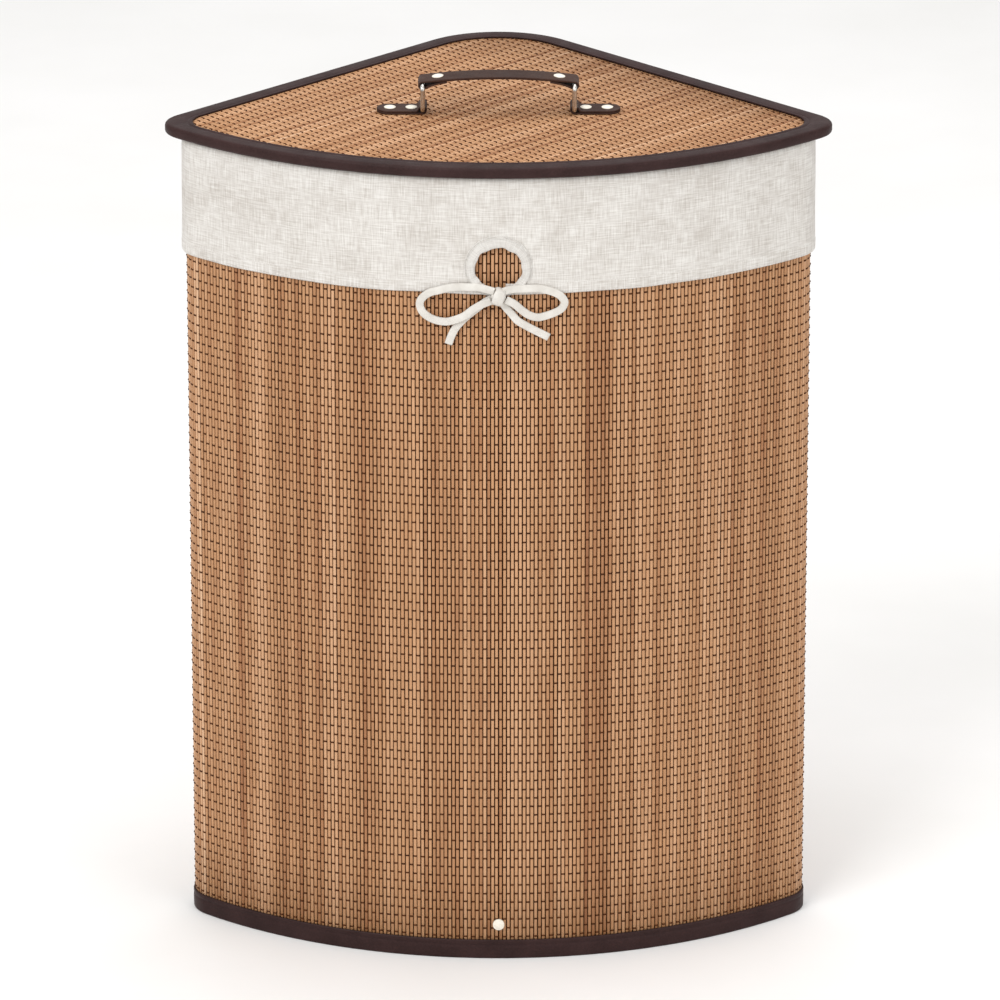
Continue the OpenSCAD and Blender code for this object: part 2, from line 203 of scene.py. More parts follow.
def in_front(x, out, z):
    """A point that far in front of the wall's curved front."""
    radius = LID_RADIUS - WALL_INSET + out
    return np.stack([x, ARC_Y - np.sqrt(radius**2 - x**2), z], -1)


def smooth_line(points, per_step=6):
    """A smooth curve through these points (Catmull-Rom)."""
    p = np.asarray(points, float)
    p = np.vstack([2 * p[0] - p[1], p, 2 * p[-1] - p[-2]])
    t = np.linspace(0, 1, per_step, endpoint=False)[:, None]
    made = []
    for a, b, c, d in zip(p, p[1:], p[2:], p[3:]):
        bend = 2 * a - 5 * b + 4 * c - d
        made.append((2 * b + (c - a) * t + bend * t**2 + (3 * b - a - 3 * c + d) * t**3) / 2)
    return np.vstack([*made, p[-2:-1]])


# ------------------------- meshes

CLOTH_THICK = 0.001


def full_turn(steps):
    """Angles once round."""
    return np.linspace(0, 2 * math.pi, steps, endpoint=False)


def squarer(wave, power):
    """A sine or cosine drawn towards a square wave: the lower the power, the squarer."""
    return np.sign(wave) * np.abs(wave) ** power


def grain_map(along, across):
    """A piece's own two directions at each point, which its material follows."""
    return np.stack(np.broadcast_arrays(along, across, 0.0), -1)


def skin(name, rings, loop=False, **attributes):
    """One mesh of solids given as rings[solid, ring, point, xyz]. With loop, the last ring joins the
    first; without, both ends are closed. Attributes are values[solid, ring, point]."""
    rings = np.asarray(rings, float)
    solids, steps, sides = rings.shape[:3]
    index = np.arange(solids * steps * sides).reshape(solids, steps, sides)
    a = index if loop else index[:, :-1]
    b = np.roll(index, -1, 1) if loop else index[:, 1:]
    faces = np.stack([a, b, np.roll(b, -1, 2), np.roll(a, -1, 2)], -1).reshape(-1, 4).tolist()
    if not loop:
        faces += index[:, 0].tolist() + index[:, -1, ::-1].tolist()
    mesh = bpy.data.meshes.new(name)
    mesh.from_pydata(rings.reshape(-1, 3).tolist(), [], faces)
    middle = rings[0].mean(1)
    across = np.cross(rings[0, 0, 1] - rings[0, 0, 0], rings[0, 0, 2] - rings[0, 0, 1])
    if sum_of_turns(rings[0, 0]) @ (middle[1] - middle[0]) > 0 and across.any():
        mesh.flip_normals()
    return finish_mesh(name, mesh, attributes)


def sum_of_turns(ring):
    """A vector along which this ring of points turns anticlockwise."""
    spokes = ring - ring.mean(0)
    return np.cross(spokes, np.roll(spokes, -1, 0)).sum(0)


def solid(name, rings, grain, loop=False):
    """One solid given as rings[ring, point, xyz], with its grain."""
    return skin(name, rings[None], loop, grain=grain[None])


def finish_mesh(name, mesh, attributes):
    """Smooths a mesh, gives it its attributes and links it as an object."""
    mesh.shade_smooth()
    for key, values in attributes.items():
        values = np.asarray(values, np.float32)
        kind = "FLOAT_VECTOR" if values.size == 3 * len(mesh.vertices) else "FLOAT"
        layer = mesh.attributes.new(key, kind, "POINT")
        layer.data.foreach_set("vector" if kind == "FLOAT_VECTOR" else "value", values.ravel())
    obj = bpy.data.objects.new(name, mesh)
    bpy.context.scene.collection.objects.link(obj)
    return obj


def grid(name, points, closed=False, keep=None, **attributes):
    """A sheet from points[row, column, xyz]. closed joins the last column to the first, and keep is
    a mask of the faces that stay."""
    rows, columns = points.shape[:2]
    index = np.arange(rows * columns).reshape(rows, columns)
    if closed:
        index = np.column_stack([index, index[:, :1]])
    faces = np.stack([index[:-1, :-1], index[:-1, 1:], index[1:, 1:], index[1:, :-1]], -1)
    faces = faces.reshape(-1, 4) if keep is None else faces[keep]
    mesh = bpy.data.meshes.new(name)
    mesh.from_pydata(points.reshape(-1, 3).tolist(), [], faces.tolist())
    return finish_mesh(name, mesh, attributes)


def hoop(name, profile, tip=lambda inset: INNER_TIP_RADIUS):
    """A band round the outline. Its closed profile is a list of (inset, height)."""
    plans = [outline(inset, tip(inset))[0] for inset, _ in profile]
    rings = np.stack([
        np.column_stack([plan, np.full(len(plan), z)]) for plan, (_, z) in zip(plans, profile)
    ], axis=1)
    run = lengths(rings[:, 0])[0]
    girth = lengths(np.array(profile))[0]
    return solid(name, rings, grain_map(run[:, None], girth), loop=True)


def thicken(cloth):
    """Gives a sheet the cloth's thickness, half to each side."""
    modifier = cloth.modifiers.new("thickness", "SOLIDIFY")
    modifier.thickness = CLOTH_THICK
    modifier.offset = 0
    modifier.use_even_offset = False


def dress(obj, body, look, replaces=()):
    """Gives a piece its body, material, material slot and the CAD nodes it stands for."""
    obj.data.materials.clear()
    obj.data.materials.append(look)
    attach(obj, body)
    if replaces:
        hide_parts(*replaces)
    return obj


# ------------------------- materials

NOISE_LOW, NOISE_HIGH = 0.3, 0.7  # most values of a noise texture lie between these


class Look:
    """A Principled material and short ways to add nodes to it."""

    def __init__(self, name, **constants):
        self.material = bpy.data.materials.new(name)
        self.material.use_nodes = True
        self.tree = self.material.node_tree
        self.shader = self.tree.nodes["Principled BSDF"]
        for key, value in constants.items():
            label = key.replace("_", " ").title().replace("Ior", "IOR")
            self.shader.inputs[label].default_value = value

    def node(self, kind, inputs=None, **settings):
        made = self.tree.nodes.new("ShaderNode" + kind)
        for key, value in settings.items():
            setattr(made, key, value)
        for key, value in (inputs or {}).items():
            if isinstance(value, bpy.types.NodeSocket):
                self.tree.links.new(value, made.inputs[key])
            else:
                made.inputs[key].default_value = value
        return made

    def math(self, operation, a, b=0.0):
        return self.node("Math", {0: a, 1: b}, operation=operation).outputs[0]

    def attribute(self, name, output="Vector"):
        return self.node("Attribute", attribute_name=name).outputs[output]

    def position(self):
        return self.node("TexCoord").outputs["Object"]

    def stretched(self, vector, scale):
        return self.node("Mapping", {"Vector": vector, "Scale": scale}).outputs[0]

    def noise(self, vector, scale=1.0, detail=3.0):
        inputs = {"Vector": vector, "Scale": scale, "Detail": detail, "Roughness": 0.55}
        return self.node("TexNoise", inputs).outputs["Fac"]

    def cells(self, vector, scale):
        made = self.node("TexVoronoi", {"Vector": vector, "Scale": scale}, feature="SMOOTH_F1")
        return made.outputs["Distance"]

    def spread(self, value, to_low, to_high, low=NOISE_LOW, high=NOISE_HIGH):
        """A value between low and high, brought to between to_low and to_high."""
        inputs = {0: value, 1: low, 2: high, 3: to_low, 4: to_high}
        return self.node("MapRange", inputs).outputs[0]

    def ramp(self, value, *stops):
        made = self.node("ValToRGB", {0: value})
        elements = made.color_ramp.elements
        while len(elements) < len(stops):
            elements.new(0.5)
        for element, (place, colour) in zip(elements, stops):
            element.position = place
            element.color = rgb(colour)
        return made.outputs[0]

    def tones(self, value, dark, light, low=NOISE_LOW, high=NOISE_HIGH):
        """A colour from dark at low to light at high."""
        return self.ramp(value, (low, dark), (high, light))

    def tint(self, colour, grey):
        """colour multiplied by a grey."""
        settings = {"data_type": "RGBA", "blend_type": "MULTIPLY"}
        return self.node("Mix", {0: 1.0, 6: colour, 7: grey}, **settings).outputs[2]

    def weave(self, u, v, pitch):
        """Height of a plain weave whose threads are pitch apart."""
        waves = [self.math("SINE", self.math("MULTIPLY", x, math.pi / pitch)) for x in (u, v)]
        return self.math("ABSOLUTE", self.math("MULTIPLY", *waves))

    def use(self, colour, roughness, height=None, depth=0.0, strength=1.0):
        """Sends these to the shader. The height makes a bump that is depth deep."""
        links = self.tree.links
        links.new(colour, self.shader.inputs["Base Color"])
        links.new(roughness, self.shader.inputs["Roughness"])
        if height is not None:
            bump = self.node("Bump", {"Height": height, "Distance": depth, "Strength": strength})
            links.new(bump.outputs[0], self.shader.inputs["Normal"])
        return self.material


def rgb(colour):
    """A colour given as rrggbb, in the renderer's linear values."""
    parts = [int(colour[k:k + 2], 16) / 255 for k in (0, 2, 4)]
    return [c / 12.92 if c <= 0.04045 else ((c + 0.055) / 1.055) ** 2.4 for c in parts] + [1.0]


def bamboo():
    """Split bamboo: each slat's own shade, with long fibres and soft patches."""
    look = Look("bamboo", specular_ior_level=0.35)
    grain = look.attribute("grain")
    fibres = look.noise(look.stretched(grain, (40, 1, 2600)), detail=4)
    patches = look.noise(look.stretched(grain, (14, 1, 120)), detail=2)
    shade = look.math("ADD", look.attribute("shade", "Fac"), look.spread(patches, -0.09, 0.09))
    colour = look.ramp(shade, (0.0, "754426"), (0.3, "a3704a"), (0.55, "bd8d64"), (0.8, "cfa17a"),
                       (1.0, "ddb591"))
    colour = look.tint(colour, look.spread(fibres, 0.84, 1.06))
    return look.use(colour, look.spread(fibres, 0.42, 0.58), fibres, depth=0.00025, strength=0.5)


def thread():
    """Dark twisted thread."""
    look = Look("thread", specular_ior_level=0.2)
    place = look.position()
    plies = look.noise(place, scale=1800, detail=2)
    colour = look.tones(look.noise(place, scale=60, detail=2), "3f1f0a", "5b3213")
    return look.use(colour, look.spread(plies, 0.7, 0.95), plies, depth=0.0002, strength=0.6)


def leather(name, dark, light, roughness=0.46):
    """Grained brown leather, with fine cells, a few creases and uneven gloss."""
    look = Look(name, specular_ior_level=0.13)
    place = look.position()
    cells = look.cells(place, scale=900)
    pores = look.noise(place, scale=2200)
    creases = look.noise(look.stretched(place, (90, 90, 260)), detail=5)
    height = look.math("ADD", cells, look.math("ADD", look.math("MULTIPLY", pores, 0.4), creases))
    tone = look.math("ADD", look.math("MULTIPLY", look.noise(place, scale=38, detail=4), 0.7),
                     look.math("MULTIPLY", cells, 0.35))
    colour = look.tones(tone, dark, light, low=0.35)
    shine = look.spread(creases, roughness - 0.07, roughness + 0.1)
    return look.use(colour, shine, height, depth=0.00018, strength=0.5)


def linen(name, pale, deep, pitch):
    """Slubby plain weave with threads this far apart, laid along the piece's grain."""
    look = Look(name, sheen_weight=0.12, sheen_roughness=0.5, specular_ior_level=0.15)
    grain = look.attribute("grain")
    parts = look.node("SeparateXYZ", {0: grain})
    threads = look.weave(parts.outputs[0], parts.outputs[1], pitch)
    warp = look.noise(look.stretched(grain, (1100, 75, 1)))
    weft = look.noise(look.stretched(grain, (75, 1100, 1)))
    slubs = look.math("ADD", warp, weft)
    tone = look.math("ADD", look.math("MULTIPLY", slubs, 0.45),
                     look.math("MULTIPLY", look.noise(grain, scale=30), 0.25))
    colour = look.tones(tone, deep, pale, low=0.44)
    colour = look.tint(colour, look.spread(threads, 0.9, 1.0, low=0))
    height = look.math("ADD", threads, look.math("MULTIPLY", slubs, 1.2))
    roughness = look.spread(slubs, 0.8, 0.95, low=0.7, high=1.3)
    return look.use(colour, roughness, height, depth=0.00022, strength=0.55)


YARN_PITCH = 0.0011


def cotton():
    """Close, smooth braid of the ties."""
    look = Look("cotton", sheen_weight=0.15, sheen_roughness=0.4, specular_ior_level=0.2)
    grain = look.attribute("grain")
    parts = look.node("SeparateXYZ", {0: grain})
    lean = look.math("ADD", parts.outputs[0], look.math("ABSOLUTE", parts.outputs[1]))
    yarns = look.math("ABSOLUTE", look.math("SINE", look.math("MULTIPLY", lean, math.pi / YARN_PITCH)))
    soil = look.noise(grain, scale=90)
    colour = look.tones(soil, "cbc6be", "dcd8d1", high=0.65)
    colour = look.tint(colour, look.spread(yarns, 0.93, 1.0, low=0, high=0.6))
    return look.use(colour, look.spread(soil, 0.75, 0.9), yarns, depth=0.00012, strength=0.4)


def wood(name, dark, light, along):
    """Planed wood whose grain runs along this axis."""
    look = Look(name, specular_ior_level=0.3)
    scale = [180, 180, 180]
    scale[along] = 9
    rings = look.noise(look.stretched(look.position(), scale), detail=4)
    colour = look.tones(rings, dark, light)
    return look.use(colour, look.spread(rings, 0.5, 0.7), rings, depth=0.0002, strength=0.4)


def fibreboard():
    """Pressed brown fibres."""
    look = Look("fibreboard", specular_ior_level=0.2)
    fibres = look.noise(look.position(), scale=900, detail=4)
    colour = look.tones(fibres, "8f6c49", "b8946a")
    return look.use(colour, look.spread(fibres, 0.8, 0.95), fibres, depth=0.00015, strength=0.5)


def steel():
    """Bright steel with fine upright scratches."""
    look = Look("steel", metallic=1.0)
    scratches = look.noise(look.stretched(look.position(), (1400, 1400, 140)))
    colour = look.tones(scratches, "b9b5ae", "dedbd5")
    return look.use(colour, look.spread(scratches, 0.2, 0.34), scratches, depth=0.00003, strength=0.3)


def enamel():
    """Cream lacquer of the rivet caps."""
    look = Look("enamel", coat_weight=0.25, coat_roughness=0.2)
    wear = look.noise(look.position(), scale=400)
    colour = look.tones(wear, "e4dccb", "f1ebde")
    return look.use(colour, look.spread(wear, 0.32, 0.48), wear, depth=0.00005, strength=0.3)


def floor_look():
    """Matt white paper, faintly patchy in tone."""
    look = Look("floor", specular_ior_level=0.1)
    tone_patches = look.noise(look.position(), scale=3, detail=4)
    return look.use(look.tones(tone_patches, "eeedeb", "f4f3f2"), look.spread(tone_patches, 0.85, 0.95))


BAMBOO = bamboo()
THREAD = thread()
BINDING = leather("binding", "2b1b1a", "3b2827")
STRAP = leather("strap", "34221d", "473229", roughness=0.5)
LINEN = linen("linen", "e8e5e0", "c1bab2", pitch=0.0008)
CASING = linen("casing", "e6e3de", "c8c3bc", pitch=0.0006)
# Painted shade: the backing's own tan is darkened to this brown so that the gaps between the wall's
# slats look shaded
BACKING_GAP_SHADE = linen("backing", "5c3313", "3d2009", pitch=0.0012)
COTTON = cotton()
BOARD = fibreboard()
STEEL = steel()
ENAMEL = enamel()


# ------------------------- bow

TIE_WIDTH = 0.0056
TIE_THICK = 0.002
CORD_SIDES = 16
CORD_POWER = 0.7  # how square the cord's section is, see squarer
LEAN_REACH = 0.018  # how far the cord runs while its lean changes
OUT = np.array([0, -1, 0])

# The cords' routes: (x, distance in front of the wall, z) in mm
LOOP_LEFT = [
    (-3, 8, 508), (-8, 6.6, 509), (-14, 5.3, 510), (-21, 5, 510), (-28, 5, 510), (-35, 5, 509),
    (-42, 5, 507), (-48, 4.8, 505), (-53, 4.3, 501), (-55, 3.6, 496), (-53, 3, 490), (-48, 3, 486),
    (-42, 3.2, 484), (-36, 4.2, 484), (-30, 5.2, 486), (-24, 6, 489), (-18, 6.4, 494),
    (-12, 7, 498), (-5, 7.6, 501),
]
LOOP_RIGHT = [
    (3, 8, 508), (8, 6.6, 509), (14, 5.3, 509), (20, 5, 509), (26, 5, 509), (32, 5, 508),
    (38, 4.9, 506), (43, 4.8, 503), (46, 4, 498), (44, 3.2, 493), (39, 3, 490), (33, 3, 488),
    (27, 3, 487), (21, 3.2, 489), (16, 4, 493), (11, 5.6, 498), (5, 7.6, 502),
]
TAIL_LEFT = [
    (-4, 4.6, 502), (-9, 3.4, 499), (-15, 2.9, 494), (-21, 2.8, 489), (-26, 2.8, 484),
    (-30, 2.8, 479), (-33, 2.8, 473), (-35, 2.8, 467),
]
TAIL_RIGHT = [
    (2, 4.6, 500), (5, 3.5, 495), (9, 2.9, 490), (13, 2.8, 485), (19, 2.8, 481), (26, 2.8, 477),
    (35, 2.8, 472),
]

KNOT = in_front(0.0, 0.007, CUFF_LOW)
KNOT_LEAN = math.radians(17)
WRAP_DEEP, WRAP_HIGH = 0.0036, 0.0054  # half sizes of the turn round the knot
BAND_WIDE, BAND_THICK = 0.0037, 0.0011  # half sizes of the cord that makes it
CORE_WIDE, CORE_DEEP, CORE_HIGH = 0.0052, 0.0029, 0.0052


def flat_cord(name, route, twist):
    """A flat cord along a route, and its middle line. It leans by up to twist."""
    middle = in_front(*smooth_line(np.array(route) / 1000).T)
    step = np.gradient(middle, axis=0)
    flat = step[:, [0, 2]] / np.linalg.norm(step[:, [0, 2]], axis=1)[:, None]
    reach = lengths(middle, closed=False)[0]
    lean = twist * np.sin(reach / LEAN_REACH)[:, None]
    wide = np.column_stack([-flat[:, 1], np.zeros(len(flat)), flat[:, 0]])
    across = wide * np.cos(lean) + OUT * np.sin(lean)
    raised = OUT * np.cos(lean) - wide * np.sin(lean)
    turn = full_turn(CORD_SIDES)
    u = squarer(np.cos(turn), CORD_POWER) * TIE_WIDTH / 2
    v = squarer(np.sin(turn), CORD_POWER) * TIE_THICK / 2
    rings = middle[:, None] + across[:, None] * u[:, None] + raised[:, None] * v[:, None]
    return solid(name, rings, grain_map(reach[:, None], u)), middle


def knot():
    """The wrap that closes the bow: one turn of the cord round its middle, leaning a little."""
    turn = full_turn(40)
    up = np.array([math.sin(KNOT_LEAN), 0, math.cos(KNOT_LEAN)])
    across = np.array([math.cos(KNOT_LEAN), 0, -math.sin(KNOT_LEAN)])
    deep = squarer(np.cos(turn), 0.7) * WRAP_DEEP
    high = squarer(np.sin(turn), 0.8) * WRAP_HIGH
    spoke = OUT * deep[:, None] + up * high[:, None]
    normal = OUT * np.cos(turn)[:, None] / WRAP_DEEP + up * np.sin(turn)[:, None] / WRAP_HIGH
    normal /= np.linalg.norm(normal, axis=1)[:, None]
    girth = full_turn(CORD_SIDES)
    u = BAND_WIDE * squarer(np.cos(girth), 0.5)
    v = BAND_THICK * squarer(np.sin(girth), CORD_POWER)
    pinch = 1 + 0.1 * np.cos(2 * turn + 0.5)[:, None, None]
    rings = KNOT + spoke[:, None] + across * u[:, None] * pinch + normal[:, None] * v[:, None]
    return solid("knot_wrap", rings, grain_map(turn[:, None] * 0.005, u), loop=True)


def knot_core():
    """The two strands pressed together inside the wrap."""
    share = np.linspace(-1, 1, 13)[:, None]
    swell = np.sqrt(1.02 - share**2)
    turn = full_turn(18)
    x = share * CORE_WIDE + 0 * turn
    y = -CORE_DEEP * swell * np.cos(turn)
    z = CORE_HIGH * swell * np.sin(turn)
    return solid("knot_core", KNOT + np.stack([x, y, z], -1), grain_map(x, z))


def bow():
    """The knot with its two loops and two tails."""
    wrap = dress(knot(), "bag", COTTON, ["tie_knot"])
    core = dress(knot_core(), "bag", COTTON)
    for name, route, twist, far_end in (
        ("tie_loop_left", LOOP_LEFT, 0.25, "knot"), ("tie_loop_right", LOOP_RIGHT, -0.25, "knot"),
        ("tie_tail_left", TAIL_LEFT, 0.15, "bare"), ("tie_tail_right", TAIL_RIGHT, -0.15, "bare"),
    ):
        piece, middle = flat_cord(name + "_cord", route, twist)
        dress(piece, "bag", COTTON, [name])


bow()


# ------------------------- bamboo mats

SLAT_PITCH = 0.0028
SLAT_SHARE = 0.74  # of the pitch, the rest is the gap
SLAT_THICK = 0.0014
SLAT_CROWN = 0.0003
SLAT_WIDTHS = (0.92, 1.06)
SLAT_SWAY = 0.00005
SLAT_SINK = 0.00012  # the most that a slat lies deeper than others
SLAT_SHADE = 0.55  # the usual one, from 0 for dark to 1 for light
ROW_PITCH = 0.0067
ROW_WAVE = 0.00022  # how high a row's threads rise and fall slowly
ROW_SHAKE = 0.0001  # and quickly
THREAD_R = 0.0006
THREAD_FLAT = 0.8  # a thread's thickness by its width
THREAD_DIP = 0.001
FRONT_NORMAL = 0.75  # the normal's x at which the curved front gives way to the sides
LID_MAT_INSET = 0.009


def slow_noise(count, period):
    """Smooth random values, one for each slat, that change over about period slats."""
    knots = RANDOM.normal(size=int(count / period) + 3)
    return np.interp(np.arange(count) / period, np.arange(len(knots)), knots)


def shades(count):
    """How light each slat is: single ones differ most, and groups of 4 and of 25 less."""
    mixed = 0.11 * RANDOM.normal(size=count) + 0.05 * slow_noise(count, 4) + 0.04 * slow_noise(count, 25)
    return np.clip(SLAT_SHADE + mixed, 0.02, 0.98)


class Mat:
    """Slats side by side. Each has a start, directions across, outwards and along, and two ends."""

    def __init__(self, start, across, out, along, low, high):
        self.start, self.across, self.out, self.along = start, across, out, along
        self.low, self.high = low, high
        self.shade = shades(len(start))
        self.seed = RANDOM.uniform(0, 50, len(start))

    def part(self, chosen):
        """Some of the slats, as a mat of their own."""
        made = object.__new__(Mat)
        for key, values in vars(self).items():
            setattr(made, key, values[chosen])
        return made

    def place(self, which, across, out, along):
        """Points at these distances from the start of each chosen slat."""
        lift = (slice(None),) + (None,) * (np.ndim(across) - 1) + (slice(None),)
        return (self.start[which][lift] + self.across[which][lift] * across[..., None]
                + self.out[which][lift] * out[..., None] + self.along[which][lift] * along[..., None])

    def slats(self, name, rings=9):
        """Closed slats with a crowned face, a little uneven in width and not quite straight."""
        count = len(self.start)
        share = np.array([-1, -0.62, 0, 0.62, 1, 1, -1])
        depth = SLAT_CROWN * np.array([1, 0.3, 0, 0.3, 1, 0, 0])
        depth[-2:] = SLAT_THICK
        half = SLAT_PITCH * SLAT_SHARE / 2 * RANDOM.uniform(*SLAT_WIDTHS, (count, 1, 1))
        sway = RANDOM.normal(scale=SLAT_SWAY, size=(count, rings, 1))
        sink = RANDOM.uniform(0, SLAT_SINK, (count, 1, 1))
        reach = np.linspace(0, 1, rings)[None, :, None]
        along = self.low[:, None, None] + (self.high - self.low)[:, None, None] * reach
        shape = (count, rings, len(share))
        across = np.broadcast_to(share * half + sway, shape)
        out = np.broadcast_to(-depth - sink, shape)
        along = np.broadcast_to(along, shape)
        points = self.place(slice(None), across, out, along)
        seed = np.broadcast_to(self.seed[:, None, None], shape)
        tone = np.broadcast_to(self.shade[:, None, None], shape)
        return skin(name, points, grain=np.stack([along, seed, across], -1), shade=tone)

    def threads(self, name, first_slat=0):
        """Plain weave: in each row a thread crosses every second slat, and dips into the gaps."""
        first_row = math.floor(self.low.min() / ROW_PITCH)
        last_row = math.ceil(self.high.max() / ROW_PITCH)
        rows = (np.arange(first_row, last_row) + 0.5) * ROW_PITCH
        slat, row = np.meshgrid(np.arange(len(self.start)), np.arange(len(rows)), indexing="ij")
        number = slat + first_slat
        height = rows[row] + ROW_WAVE * np.sin(number / 9 + row) + ROW_SHAKE * np.cos(slat / 2.3)
        margin = THREAD_R * 2
        inside = (height > self.low[slat] + margin) & (height < self.high[slat] - margin)
        shown = inside & ((number + row) % 2 == 0)
        slat, height = slat[shown], height[shown]
        share = np.array([-0.5, -0.37, 0.37, 0.5]) * SLAT_PITCH
        lift = np.array([-THREAD_DIP, 0.00002, 0.00002, -THREAD_DIP])
        turn = np.arange(4) * math.pi / 2
        shape = (len(slat), len(share), len(turn))
        across = np.broadcast_to(share[None, :, None], shape)
        out = np.broadcast_to(lift[None, :, None] + THREAD_FLAT * THREAD_R * np.cos(turn), shape)
        along = height[:, None, None] + THREAD_R * np.sin(turn) + np.zeros(shape)
        return skin(name, self.place(slat, across, out, along))


def wall_slats():
    """The wall's slats stand side by side round the outline, in four pieces, with their threads."""
    _, total = lengths(outline(WALL_INSET)[0])
    count = 2 * round(total / SLAT_PITCH / 2)
    middle, normal = along_outline(WALL_INSET, (np.arange(count) + 0.5) / count)
    flat = np.zeros((count, 1))
    out = np.hstack([normal, flat])
    across = np.column_stack([-normal[:, 1], normal[:, 0], flat])
    up = np.tile([0.0, 0.0, 1.0], (count, 1))
    mat = Mat(np.hstack([middle, flat]), across, out, up,
              np.full(count, WALL_LOW), np.full(count, WALL_TOP))
    front = (np.abs(normal[:, 0]) < FRONT_NORMAL) & (normal[:, 1] < 0)
    first, last = np.flatnonzero(front)[[0, -1]]
    centre = (first + last + 1) // 2
    spans = {"left_side": slice(0, first), "front_left": slice(first, centre),
             "front_right": slice(centre, last + 1), "right_side": slice(last + 1, count)}
    for name, span in spans.items():
        part = mat.part(span)
        slats = part.slats(name + "_slats")
        dress(slats, "hamper", BAMBOO, ["wall_mat"] if name == "front_left" else [])
        dress(part.threads(name + "_threads", span.start), "hamper", THREAD)


def lid_slats():
    """The lid's slats run parallel to the lid's left side, cut to its outline."""
    run = np.array([1, 1]) / math.sqrt(2)
    beside = np.array([1, -1]) / math.sqrt(2)
    edge, _ = outline(LID_MAT_INSET, binding_tip(LID_MAT_INSET))
    ahead = np.roll(edge, -1, 0)
    spots = np.arange(math.ceil((edge @ beside).min() / SLAT_PITCH) + 1,
                      (edge @ beside).max() / SLAT_PITCH - 1) * SLAT_PITCH
    low, high = [], []
    for spot in spots:
        a = edge @ beside - spot
        b = ahead @ beside - spot
        crossed = a * b < 0
        share = (a[crossed] / (a - b)[crossed])[:, None]
        ends = (edge[crossed] + share * (ahead[crossed] - edge[crossed])) @ run
        low.append(ends.min())
        high.append(ends.max())
    count = len(spots)
    start = np.column_stack([spots[:, None] * beside, np.full(count, MAT_TOP - 0.0002)])
    mat = Mat(start, np.tile([*beside, 0], (count, 1)), np.tile([0.0, 0, 1], (count, 1)),
              np.tile([*run, 0], (count, 1)), np.array(low), np.array(high))
    dress(mat.slats("lid_slats", 5), "lid", BAMBOO, ["lid_mat"])
    dress(mat.threads("lid_threads"), "lid", THREAD)


wall_slats()
lid_slats()


# ------------------------- bindings

LEATHER = 0.001  # thickness of a binding
WALL_THICK = 0.003
LID_BEND, BASE_BEND = 0.0024, 0.0012  # outer radii of the bindings' folds


def placed(inset, z, points):
    """Profile points given in mm, inwards and up, from this place."""
    return [(inset + across / 1000, z + up / 1000) for across, up in points]


def round_fold(inset, z, radius, start, end):
    """A round corner of a profile, between two angles in degrees."""
    return list(circle((inset, z), radius, start, end, 5))


def lid_binding():
    """A leather strip round the lid's edge, with soft corners and a folded lip beside the mat."""
    top, low, fold = LID_TOP, RIM_Z, LID_BEND
    profile = placed(LID_BAND, top, [(0, -0.9), (0, -0.1), (-0.4, 0.2), (-1.6, 0.2), (-2.3, -0.1),
                                     (-2.7, -0.35), (-3.1, -0.15), (-4, 0), (-7, 0.1)])
    profile += placed(fold, top, [(2, 0)])
    profile += round_fold(fold, top - fold, fold, 90, 180)
    profile += round_fold(fold, low + fold, fold, 180, 270)
    profile += placed(LID_BAND, low, [(-0.4, 0), (0, 0.4), (0, 0.9)])
    profile += round_fold(fold, low + fold, fold - LEATHER, 270, 180)
    profile += round_fold(fold, top - fold, fold - LEATHER, 180, 90)
    piece = hoop("lid_edge_binding", profile, binding_tip)
    dress(piece, "lid", BINDING, ["lid_binding"])


def base_binding():
    """A leather strip folded under the wall's lower edge, with a pressed line below its top."""
    outer = WALL_INSET - LEATHER
    wall_in = WALL_INSET + WALL_THICK
    inner = wall_in + LEATHER
    profile = placed(WALL_INSET, BASE_BAND, [(0.2, -0.6), (-0.2, 0)])
    profile += placed(outer, BASE_BAND, [(0.2, -0.2), (-0.1, -1.2), (0, -3.4), (0.3, -3.9), (0, -4.4)])
    profile += placed(outer, BASE_BAND / 2, [(-0.1, 0)])
    profile += round_fold(outer + BASE_BEND, BASE_BEND, BASE_BEND, 180, 270)
    profile += round_fold(inner - BASE_BEND, BASE_BEND, BASE_BEND, 270, 360)
    profile += placed(inner, BASE_BAND, [(0, -0.6), (-0.4, 0)])
    profile += placed(wall_in, BASE_BAND, [(0, -0.4)])
    profile += [(wall_in, WALL_LOW), (WALL_INSET + 0.0002, WALL_LOW)]
    dress(hoop("base_edge_binding", profile), "hamper", BINDING, ["base_binding"])


lid_binding()
base_binding()


# ------------------------- bag

KEYHOLE_Z = 0.523
KEYHOLE_WIDE, KEYHOLE_HIGH = 0.0164, 0.0151  # half sizes of the opening
CASING_WIDTH = 0.0074
CASING_LAP = 0.003  # how far under the casing the cuff's cloth ends
CASING_OUT = 0.0028  # from the wall to the casing's middle
CASING_SWELL = 0.0020
GATHER_REACH = 0.026  # from the keyhole's middle to the deepest gathers
GATHER_WIDTH = 0.011
CUFF_WAVES = 0.0007
CUFF_END = CUFF_TOP - 0.030  # inside the bag
HEM_INSET = 0.0054
HEM_OPEN = 4  # columns left out on each side of the knot
BAG_SIDE = BAG_INSET + 0.0008
BAG_FOOT = 0.009  # how far the bag's wall turns in over its floor
FOLD_DEEP, CREASE_DEEP = 0.005, 0.003


def soft_waves(run, total, seed):
    """Gentle waves round the outline that meet at the back: a few long ones and many short ones."""
    source = np.random.default_rng(seed)
    made = np.zeros_like(run)
    for cycles in range(5, 27):
        phase = source.uniform(0, 2 * math.pi)
        made += source.normal() / cycles**0.7 * np.sin(2 * math.pi * cycles * run / total + phase)
    return made / np.abs(made).max()


def round_run(inset, columns):
    """Distance along an outline to each of its evenly spaced columns, and the whole length."""
    total = lengths(outline(inset)[0])[1]
    return np.arange(columns) / columns * total, total


